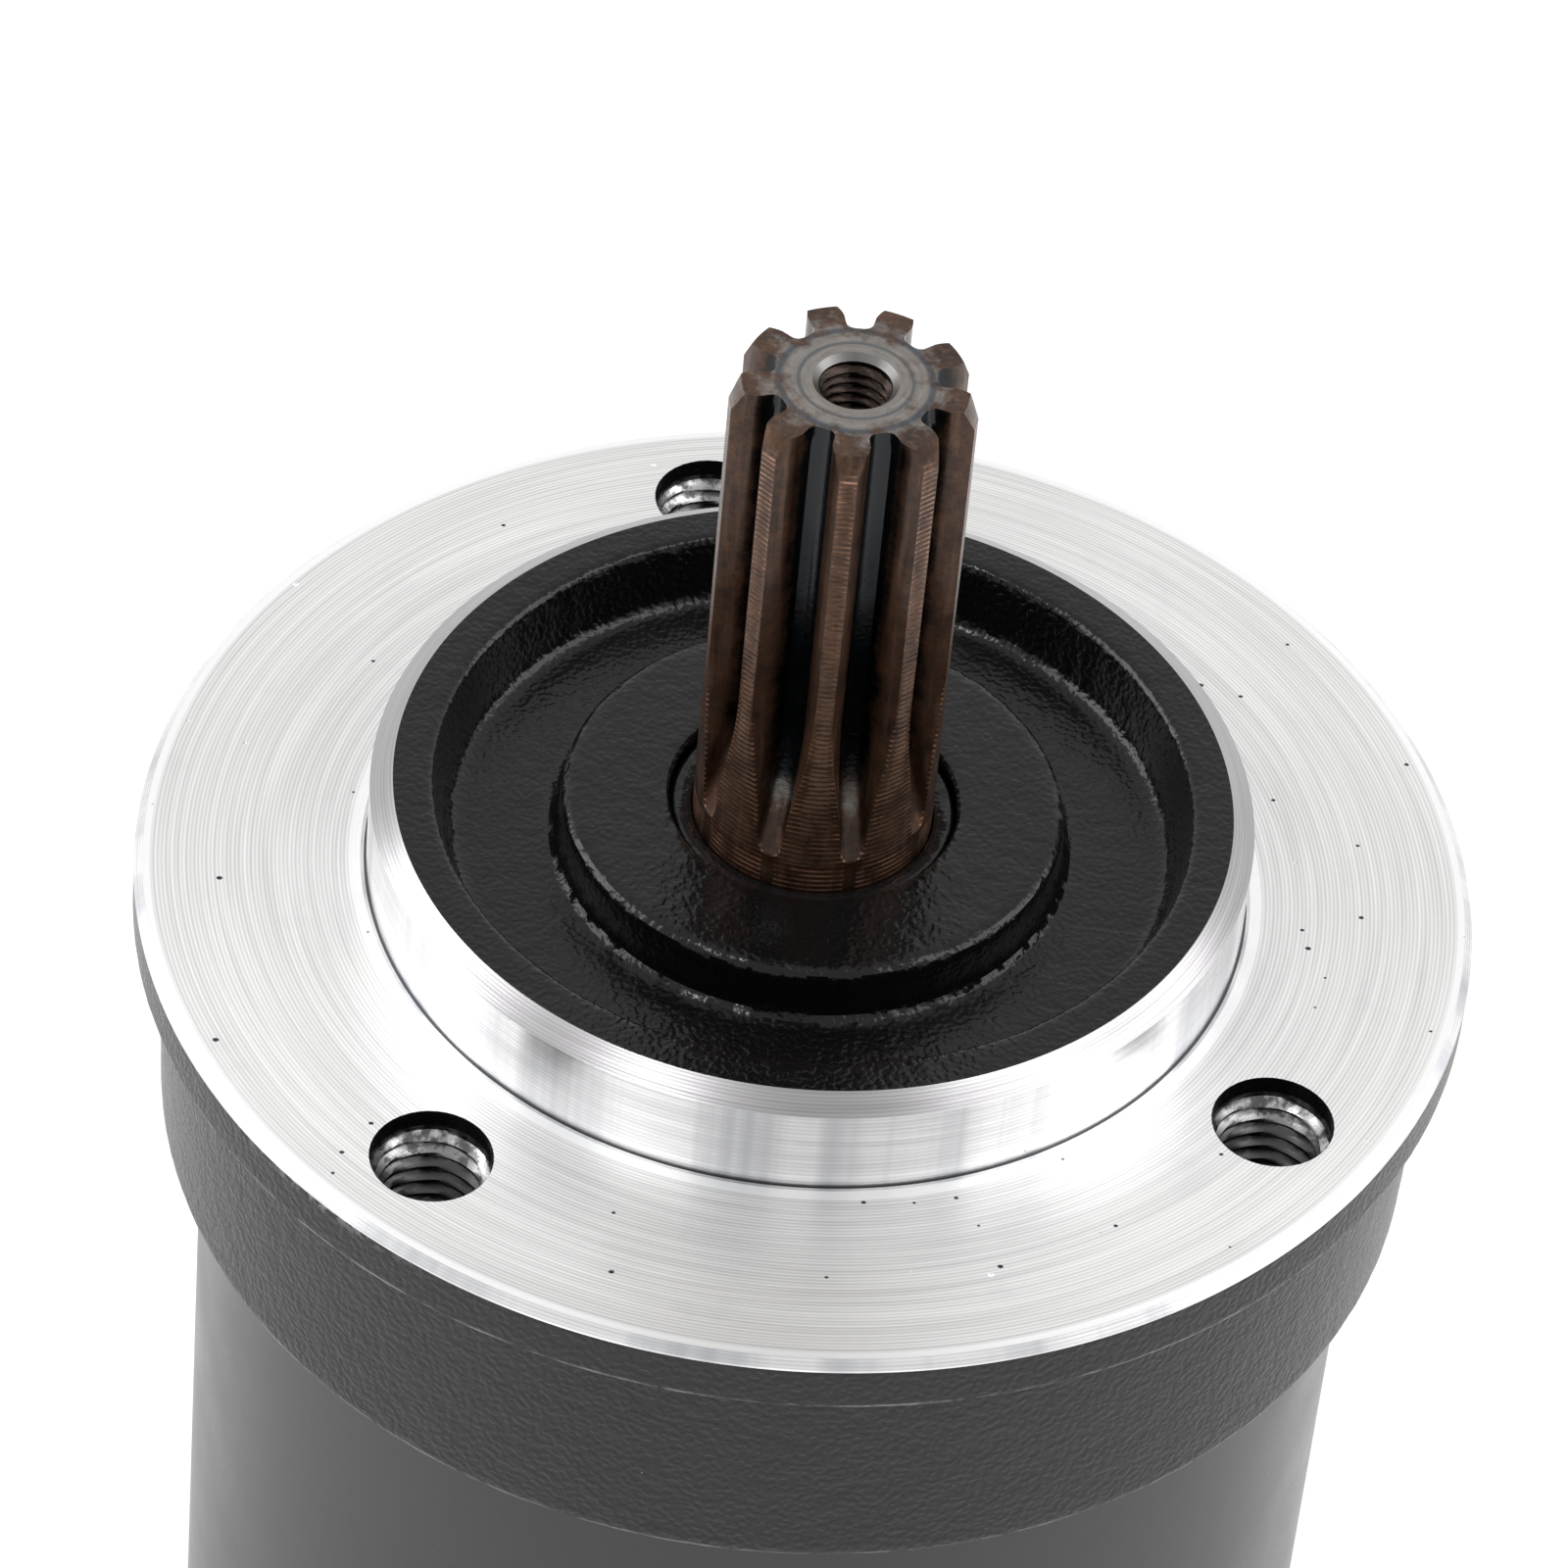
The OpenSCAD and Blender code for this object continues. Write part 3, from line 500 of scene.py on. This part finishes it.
bore_ring = machined_steel("bore_chamfer", (0.19, 0.185, 0.18), 0.34, 0.06, 0.003)
bore_metal = Paint("oily_bore", (0.05, 0.038, 0.032), metallic=0.8, roughness=0.26)
bore_smut = bore_metal.noise(0.7, 3.0, 0.6)
bore_metal.set("Base Color", bore_metal.mix(bore_smut, (0.008, 0.006, 0.005), (0.050, 0.032, 0.025)))
bore_metal.bump(bore_smut, 0.04)

# ------------------------------------------------- front housing, from its body

N = 576
M = N // 4
FACE, SPIGOT, RECESS, WALL, THREAD, BORE, PORE, CHAMFER = range(8)
housing = Shell()

# Radii and heights of the outside, from the seal outwards
BOSS_HOLE_R, BOSS_R, BOSS_TOP, SEAL_TOP = 9.6, 16.7, 6.6, 4.5
FLOOR_Z, FLOOR_OUTER_R, RIM_INNER_R = 2.7, 24.1, 25.35
CHAMFER_R, SPIGOT_R, SPIGOT_TOP, CHAMFER_Z = 28, 29.5, 7.3, 6.3
FACE_R, FACE_OUTER_R, FLANGE_R, RIM_Z = 29.9, 44.4, 45, -4
WALL_TOP_R, WALL_FOOT_R, WALL_FOOT_Z, TUBE_SEAT_R = 43.2, 42.8, -21, 36.45

recess = contour(
    [
        (BOSS_HOLE_R, SEAL_TOP, 0), (BOSS_HOLE_R, BOSS_TOP, 0.45), (BOSS_R, BOSS_TOP, 0.8),
        (BOSS_R + 0.35, FLOOR_Z, 1.0), (FLOOR_OUTER_R, FLOOR_Z, 1.1), (RIM_INNER_R, SPIGOT_TOP, 0.6),
        (CHAMFER_R, SPIGOT_TOP, 0),
    ],
    0.5,
)
recess_loops = housing.rings(recess, N, RECESS)
chamfer = [(CHAMFER_R, SPIGOT_TOP), (28.75, 6.8), (SPIGOT_R, CHAMFER_Z)]
chamfer_loops = housing.rings(chamfer, N, CHAMFER, first=recess_loops[-1])
pilot = contour(
    [
        (SPIGOT_R, CHAMFER_Z, 0), (SPIGOT_R, -0.08, 0), (SPIGOT_R + 0.14, -0.08, 0), (SPIGOT_R + 0.18, 0, 0),
        (FACE_R, 0, 0),
    ],
    1.6,
)
spigot_loops = housing.rings(pilot, N, SPIGOT, first=chamfer_loops[-1])
rim = [(FACE_OUTER_R, 0), (FLANGE_R - 0.05, -0.55), (FLANGE_R, -0.7)]
wall = contour(
    [
        (FLANGE_R, -0.7, 0), (FLANGE_R, RIM_Z, 0.3), (WALL_TOP_R, RIM_Z - 0.45, 0.35),
        (WALL_FOOT_R, WALL_FOOT_Z, 0.6), (TUBE_SEAT_R, WALL_FOOT_Z, 0),
    ],
    0.41,
)
WALL_END_R = 41.6
wall = wall[: int(np.argmax(wall[:, 0] < WALL_END_R)) + 1]
rim_loops = housing.rings(rim, N, SPIGOT)
wall_loops = housing.rings(wall, N, WALL, first=rim_loops[-1])

# The inside: tube register with its O-ring groove, bearing bores with a circlip groove, and the seal's seat
inner = [
    (TUBE_SEAT_R, WALL_FOOT_Z), (TUBE_SEAT_R, -27), (34.85, -27), (34.85, -29.7), (TUBE_SEAT_R, -29.7),
    (TUBE_SEAT_R, -36.2), (35.65, -37), (23.5, -37), (23.5, -35.6), (24.6, -35.6),
    (24.6, -34), (23.5, -34), (23.5, -20), (17, -20), (17, -16),
    (20, -16), (20, -4), (15, -4), (15, SEAL_TOP), (BOSS_HOLE_R, SEAL_TOP),
]
inner_loops = housing.rings(inner[:-1], M, BORE)
housing.thin_out(wall_loops[-1], inner_loops[0], WALL)
housing.thin_out(recess_loops[0], inner_loops[-1], BORE)

# The tapped M8 holes: direction in degrees and depth of each
HOLES = [(104, 15.0), (233.5, 14.6), (328.5, 14.2)]
HOLE_CIRCLE_R, MOUTH_R, K, ROWS = 37.4, 4.04, 40, 7
ways = [(math.cos(math.radians(a)), math.sin(math.radians(a))) for a, depth in HOLES]
centres = [Vector((HOLE_CIRCLE_R * x, HOLE_CIRCLE_R * y)) for x, y in ways]
mouths = [housing.add(circle(MOUTH_R, 0, K, c)) for c in centres]


def thread_wall(shell, centre, loop, top_z, bottom_z, minor, major, pitch, slot):
    """A tapped hole's wall below loop, down to a flat bottom, with ROWS rows of points to each turn."""
    k = len(loop)
    a = np.arange(k) * TAU / k
    n = int((top_z - bottom_z) / pitch * ROWS)
    for j in range(1, n + 1):
        z = top_z + (bottom_z - top_z) * j / n
        phase = (z / pitch - a / TAU) % 1.0
        crest = np.clip((np.abs(2 * phase - 1) - 0.18) / 0.64, 0, 1)
        crest *= min(1.0, j / ROWS * 1.3)
        r = major - (major - minor) * crest
        pts = np.column_stack([centre[0] + r * np.cos(a), centre[1] + r * np.sin(a), np.full(k, z)])
        nxt = shell.add(pts)
        shell.band(loop, nxt, slot)
        loop = nxt
    shell.cap(loop, slot)


for c, mouth, (a, depth) in zip(centres, mouths, HOLES):
    lead = housing.add(circle(MOUTH_R - 0.02, -1.3, K, c))
    housing.band(mouth, lead, RECESS)
    thread_wall(housing, c, lead, -1.3, -depth, 3.4, 4.0, 1.25, THREAD)

# The turned face: two tool steps, and casting pores as small dents
STEPS = (32.5, 40.7)
loose = [circle(r + side, 0, N // 2)[:, :2] for r in STEPS for side in (-0.1, 0.1)]
rng = np.random.RandomState(5)
pits = []
while len(pits) < 46:
    a, r, size = rng.uniform(0, TAU), rng.uniform(30.6, 43.8), rng.uniform(0.10, 0.24)
    p = np.array([r * math.cos(a), r * math.sin(a)])
    off_holes = all((Vector(p) - c).length > 4.7 for c in centres)
    off_pits = all(np.linalg.norm(p - q[0]) > 1 for q in pits)
    if off_holes and off_pits and min(abs(r - s) for s in STEPS) > 0.5:
        pits.append((p, size))
for p, size in pits:
    a = np.arange(7) * TAU / 7 + size * 40
    loose += [p[None, :], p + size * np.column_stack([np.cos(a), np.sin(a) * 0.8])]
loose = np.concatenate(loose)
far = np.min([np.linalg.norm(loose - np.array(c)[None, :], axis=1) for c in centres], axis=0)
loose = loose[far > 4.3]
dents = np.array([p for p, size in pits])


def face_height(points):
    r = np.linalg.norm(points, axis=1)
    z = np.where(r < STEPS[0], -0.02, 0.0) - np.where(r > STEPS[1], 0.03, 0.0)
    dented = np.min(np.linalg.norm(points[:, None, :] - dents[None], axis=2), axis=1) < 1e-6
    return z - np.where(dented, 0.16, 0.0)


def on_face(c):
    """Whether a point is on the turned face and outside the holes."""
    off_mouths = all((c - h).length > 4.03 for h in centres)
    return FACE_R < c.length + 0.003 and c.length < FACE_OUTER_R and off_mouths


flat_region(
    housing,
    [spigot_loops[-1], rim_loops[0], *mouths],
    loose,
    on_face,
    face_height,
    FACE,
    low_z=-0.1,
    low_slot=PORE,
)

# Casting skin: the painted loops move along the surface's own direction by smooth noise
co = np.concatenate(housing.points)
SKIN_SIZE = 0.8
skins = ((recess_loops[1:-1], recess[1:-1], 0.030), (wall_loops[1:], wall[1:], 0.022))
for loops, profile, amount in skins:
    for k, loop in enumerate(loops):
        a, b = profile[max(0, k - 1)], profile[min(len(profile) - 1, k + 1)]
        t = (b - a) / np.linalg.norm(b - a)
        n = np.array([t[1], -t[0]])
        p = co[loop]
        fade = min(1.0, k / 2, (len(loops) - 1 - k) / 2)
        d = amount * fade * (value_noise(p, SKIN_SIZE) + 0.5 * value_noise(p + 9.5, SKIN_SIZE * 2.7))
        radial = p[:, :2] / np.linalg.norm(p[:, :2], axis=1)[:, None]
        co[loop, :2] += radial * (d * n[0])[:, None]
        co[loop, 2] += d * n[1]
over = np.linalg.norm(co[:, :2], axis=1) / (FLANGE_R - 0.01)
co[:, :2] /= np.maximum(1, over)[:, None]
housing.points = [co]
looks = [face_metal, spigot_metal, recess_paint, wall_paint, thread_metal, bored_metal, pore, shaded_chamfer_metal]
front = housing.make("front_housing_cast", "housing", [m.mat for m in looks], sharp=28, flat=(FACE, PORE))
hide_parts("front_housing")

# ------------------------------------------------------- output shaft and pinion

ROOT_R, SHAFT_R, TOP, FLUTE_Z, RUN_R = 5.14, 8.0, 43.0, 20.0, 26.6
MODULE, PRESSURE = 1.5, math.radians(20)
HALF_PITCH = math.pi / TEETH
BASE_R = MODULE * TEETH / 2 * math.cos(PRESSURE)


def space_point(r):
    """Point at radius r on one side of a tooth space that is centred on +X."""
    mesh = math.acos(min(1.0, BASE_R / r))
    tooth = HALF_PITCH / 2 + (math.tan(PRESSURE) - PRESSURE) - (math.tan(mesh) - mesh)
    return r * math.cos(HALF_PITCH - tooth), r * math.sin(HALF_PITCH - tooth)


corner = 0.62
flank_w = space_point(ROOT_R + corner)[1]
side = [(ROOT_R, 0.0), (ROOT_R, (flank_w - corner) * 0.6)]
for j in range(0, 7):
    t = j / 6 * math.pi / 2
    side.append((ROOT_R + corner * (1 - math.cos(t)), flank_w - corner + corner * math.sin(t)))
side += [space_point(r) for r in np.linspace(BASE_R, SHAFT_R + 0.3, 14)]
side.append((SHAFT_R + 1, side[-1][1]))
side = np.array(side)
AXIS_X = ROOT_R + RUN_R
SIDE_PTS, LAND_PTS = 9, 8


def space_side(z, outer):
    """Half of a tooth space at height z, from its root to radius outer; None below the flutes."""
    x = side[:, 0].copy()
    if z < FLUTE_Z:
        under = (AXIS_X - x) ** 2 - (FLUTE_Z - z) ** 2
        x = np.where(under > 0, AXIS_X - np.sqrt(np.maximum(under, 0)), 99)
    pts = np.column_stack([x, side[:, 1]])
    r = np.linalg.norm(pts, axis=1)
    over = np.nonzero(r >= outer)[0]
    if len(over) == 0 or over[0] == 0:
        return None
    k = over[0]
    lo, hi = pts[k - 1], pts[k]
    for _ in range(30):
        mid = (lo + hi) / 2
        lo, hi = (mid, hi) if np.linalg.norm(mid) < outer else (lo, mid)
    pts = np.vstack([pts[:k], hi])
    s = np.concatenate([[0], np.cumsum(np.linalg.norm(np.diff(pts, axis=0), axis=1))])
    t = np.linspace(0, s[-1], SIDE_PTS + 1)
    return np.column_stack([np.interp(t, s, pts[:, 0]), np.interp(t, s, pts[:, 1])])


def section(z, outer, land):
    """The shaft's outline at height z, with its lands at radius land."""
    half = space_side(z, outer)
    if half is None:
        a = np.linspace(0, 0.004, SIDE_PTS + 1)
        half = np.column_stack([outer * np.cos(a), outer * np.sin(a)])
    space = np.vstack([half[::-1] * [1, -1], half[1:]])
    a0 = math.atan2(half[-1][1], half[-1][0])
    land_a = np.linspace(a0, 2 * HALF_PITCH - a0, LAND_PTS + 1)[1:-1]
    dip = np.minimum(1, np.sin(np.linspace(0, math.pi, LAND_PTS + 1)[1:-1]) * 3)
    radius = outer + (land - outer) * dip
    lands = np.column_stack([radius * np.cos(land_a), radius * np.sin(land_a)])
    one = np.vstack([space, lands])
    out = []
    for i in range(TEETH):
        turn = FIRST_TOOTH + (2 * i + 1) * HALF_PITCH
        c, s = math.cos(turn), math.sin(turn)
        out.append(np.column_stack([one[:, 0] * c - one[:, 1] * s, one[:, 0] * s + one[:, 1] * c]))
    out = np.concatenate(out)
    return np.column_stack([out, np.full(len(out), z)])


# The toothed end, in thin layers from the end taper down to the seal; every third has tool marks on its lands
TAPER_FOOT_Z, LAYERS_FOOT_Z, LAYER = 41.4, 7.6, 0.14
shaft = Shell()
heights = [TOP, 42.4]
z = TAPER_FOOT_Z
while z > LAYERS_FOOT_Z:
    heights.append(z)
    z -= LAYER
heights += [7.3, 6.5, 5.2, 3.0, -1.0, -2.6]
loops = []
for k, z in enumerate(heights):
    outer = SHAFT_R - 0.7 * max(0.0, (z - TAPER_FOOT_Z) / 1.6)
    tick_depth = 0.045 if (k % 3 == 0 and LAYERS_FOOT_Z < z < TAPER_FOOT_Z - 0.2) else 0.0
    loops.append(shaft.add(section(z, outer, outer - tick_depth)))
for a, b in zip(loops, loops[1:]):
    shaft.band(a, b, 0)
COLS = len(loops[0])
# The plain shaft below, out of sight
below = [
    (8, -2.8), (8.5, -2.8), (8.5, -3), (8, -3), (8, -4), (8.5, -4), (8.5, -20), (10, -20), (10, -34),
    (13, -34), (13, -38.5), (11, -38.5), (11, -45.5),
]
low_co = np.concatenate(shaft.points)[loops[-1]]
unit = low_co[:, :2] / np.linalg.norm(low_co[:, :2], axis=1)[:, None]
prev = loops[-1]
for r, z in below:
    nxt = shaft.add(np.column_stack([unit * r, np.full(COLS, float(z))]))
    shaft.band(prev, nxt, 3)
    prev = nxt
shaft.cap(prev, 3)

# The M5 centre hole: chamfer, then thread
BORE_K, LIP_R, CHAMFER_H = 48, 2.8, 0.42
lip = shaft.add(circle(LIP_R, TOP, BORE_K))
throat = shaft.add(circle(LIP_R - CHAMFER_H, TOP - CHAMFER_H, BORE_K))
shaft.band(lip, throat, 1)
thread_wall(shaft, (0, 0), throat, TOP - CHAMFER_H, TOP - 12, 2.1, 2.5, 0.8, 2)
top_loop = loops[0]
rings = np.concatenate([circle(r, 0, 60)[:, :2] for r in (3.7, 3.9, 4.7)])
outline = np.concatenate(shaft.points)[top_loop][:, :2]


def in_end(c):
    """Whether a point is inside the toothed outline and outside the bore."""
    inside = False
    n = len(outline)
    x, y = c
    for i in range(n):
        (x1, y1), (x2, y2) = outline[i], outline[(i + 1) % n]
        if (y1 > y) != (y2 > y) and x < (x2 - x1) * (y - y1) / (y2 - y1) + x1:
            inside = not inside
    return inside and c.length > LIP_R - 0.01


flat_region(
    shaft,
    [top_loop, lip],
    rings,
    in_end,
    lambda p: TOP - np.where(np.abs(np.linalg.norm(p, axis=1) - 3.8) < 0.05, 0.02, 0.0),
    0,
)
shaft_mats = [pinion.mat, bore_ring.mat, bore_metal.mat, gear_steel.mat]
shaft_piece = shaft.make("pinion_shaft", "output", shaft_mats, sharp=32)
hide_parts("output_shaft")

# ------------------------------------------------------------------ output seal

seal = Shell()
nose = contour(
    [
        (8.06, SEAL_TOP, 0), (8.08, 5.5, 0.15), (8.75, 5.75, 0.4), (9.3, 5.88, 0.3), (9.56, 5.3, 0.1),
        (9.56, SEAL_TOP, 0), (15, SEAL_TOP, 0), (15, -2.5, 0), (13.6, -2.5, 0), (13.6, 2.1, 0),
        (10.6, 2.1, 0), (10.4, -0.9, 0), (8.54, -0.7, 0), (8.06, 1.1, 0), (9.2, 2.6, 0), (8.06, 3.9, 0),
    ],
    0.25,
)
seal_loops = seal.rings(nose, 160, 0)
seal.band(seal_loops[-1], seal_loops[0], 0)
seal_piece = seal.make("output_seal_lip", "housing", [oily_rubber.mat], sharp=50)
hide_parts("output_seal")

# -------------------------------------------- materials of the CAD nodes that stay

FINISH = {
    "ring_gear_tube": tube_paint, "motor_adapter": adapter_paint, "adapter_screws": black_steel,
    "access_plug": nylon, "front_o_ring": rubber, "adapter_o_ring": rubber,
    "output_seal_spring": bearing_steel, "input_seal": rubber, "bearing_spacer": gear_steel,
    "output_carrier": gear_steel,
    "output_carrier_plate": gear_steel, "carrier_screws": black_steel, "output_planet_pins": bearing_steel,
    "output_thrust_washers": bronze, "output_thrust_pad": nylon, "output_sun": gear_steel,
    "input_carrier": gear_steel, "input_planet_pins": bearing_steel, "input_thrust_washers": bronze,
    "input_pin_clips": spring_steel, "input_shaft": gear_steel, "clamp_collar": black_steel,
    "clamp_screw": black_steel,
}
REPLACED = ("front_housing", "output_shaft", "output_seal")
for name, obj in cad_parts.items():
    if name in REPLACED:
        continue
    finish = FINISH.get(name)
    if finish is None:
        if "cage" in name:
            finish = cage_brass
        elif "circlip" in name:
            finish = spring_steel
        elif "bush" in name:
            finish = bronze
        elif "planet" in name:
            finish = gear_steel
        else:
            finish = bearing_steel
    for s in obj.material_slots:
        s.link = "OBJECT"
        s.material = finish.mat

# ---------------------------------------------------------- floor, lights, camera

floor_z = CAD_BOX[0].z
floor = Paint("pale_floor", (0.90, 0.90, 0.90), roughness=0.75)
floor.set("Base Color", floor.mix(floor.noise(60.0, 3.0, 0.5), (0.885, 0.885, 0.885), (0.91, 0.91, 0.91)))
disc = Shell()
disc_loops = disc.rings([(40, 0), (400, 0), (6000, 0)], 64, 0)
disc.cap(disc_loops[0], 0)
ground = bpy.data.meshes.new("ground")
co = np.concatenate(disc.points) * MM
co[:, 2] = floor_z
ground.from_pydata(co.tolist(), [], disc.faces)
ground.materials.append(floor.mat)
ground_obj = bpy.data.objects.new("ground", ground)
bpy.context.scene.collection.objects.link(ground_obj)


def softbox(name, place, size, power):
    """A rectangular light in metres and watts, aimed at the part's origin."""
    light = bpy.data.lights.new(name, "AREA")
    light.shape, light.size, light.size_y = "RECTANGLE", size[0], size[1]
    light.energy = power
    obj = bpy.data.objects.new(name, light)
    bpy.context.scene.collection.objects.link(obj)
    obj.location = place
    obj.rotation_mode = "QUATERNION"
    obj.rotation_quaternion = (-Vector(place)).to_track_quat("-Z", "Y")


softbox("top_softbox", (0.66, -0.16, 1.0), (0.5, 0.5), 2.4)
softbox("small_softbox", (-0.33, -0.25, 1.0), (0.14, 0.14), 1.6)
softbox("left_softbox", (-1.05, 0.12, 0.5), (0.8, 0.9), 8.0)
softbox("right_softbox", (1.1, 0.1, 0.5), (0.8, 0.9), 5)

world = bpy.data.worlds.new("studio")
bpy.context.scene.world = world
world.use_nodes = True
tree = world.node_tree
back = tree.nodes["Background"]
coord = tree.nodes.new("ShaderNodeTexCoord")
split = tree.nodes.new("ShaderNodeSeparateXYZ")
tree.links.new(coord.outputs["Generated"], split.inputs[0])


def world_ramp(axis, stops):
    ramp = tree.nodes.new("ShaderNodeValToRGB")
    tree.links.new(split.outputs[axis], ramp.inputs[0])
    for k, (place, level) in enumerate(stops):
        e = ramp.color_ramp.elements[k] if k < 2 else ramp.color_ramp.elements.new(place)
        e.position, e.color = place, (level, level, level, 1)
    return ramp.outputs[0]


# Bright low down, dimmer above; the room is darker on the side that the camera looks from
sky = tree.nodes.new("ShaderNodeMapRange")
tree.links.new(split.outputs["Y"], sky.inputs["Value"])
for socket, level in (("From Min", -0.8), ("From Max", 0.3), ("To Min", 0.78), ("To Max", 1.0)):
    sky.inputs[socket].default_value = level
height = world_ramp("Z", ((0.0, 1.05), (1.0, 0.72), (0.4, 1.0), (0.68, 0.93), (0.86, 0.8)))
both = tree.nodes.new("ShaderNodeMath")
both.operation = "MULTIPLY"
tree.links.new(sky.outputs[0], both.inputs[0])
tree.links.new(height, both.inputs[1])
tree.links.new(both.outputs[0], back.inputs["Strength"])
back.inputs["Color"].default_value = (1, 1, 1, 1)

# The camera: lens and sensor in mm, its distance from the origin and its offsets across the view in metres
LENS, SENSOR = 179.9145, 36
TILT, ROLL, DEPTH = math.radians(43.378), math.radians(5.64), 0.52572
SIDE_OFFSET, UP_OFFSET = -0.0014980, 0.0055604
backward = Vector((0, -math.cos(TILT), math.sin(TILT)))
upward = Vector((0, math.sin(TILT), math.cos(TILT)))
rightward = Vector((1, 0, 0))
cam_r = math.cos(ROLL) * rightward + math.sin(ROLL) * upward
cam_u = -math.sin(ROLL) * rightward + math.cos(ROLL) * upward
place = DEPTH * backward + SIDE_OFFSET * cam_r + UP_OFFSET * cam_u
cam = bpy.data.objects.new("camera", bpy.data.cameras.new("camera"))
bpy.context.scene.collection.objects.link(cam)
cam.data.sensor_width = SENSOR
cam.data.lens = LENS
cam.data.clip_start, cam.data.clip_end = 0.02, 50
cam.matrix_world = Matrix.Translation(place) @ Matrix((cam_r, cam_u, backward)).transposed().to_4x4()
bpy.context.scene.camera = cam
bpy.context.scene.view_settings.view_transform = "Standard"
bpy.context.scene.view_settings.look = "None"
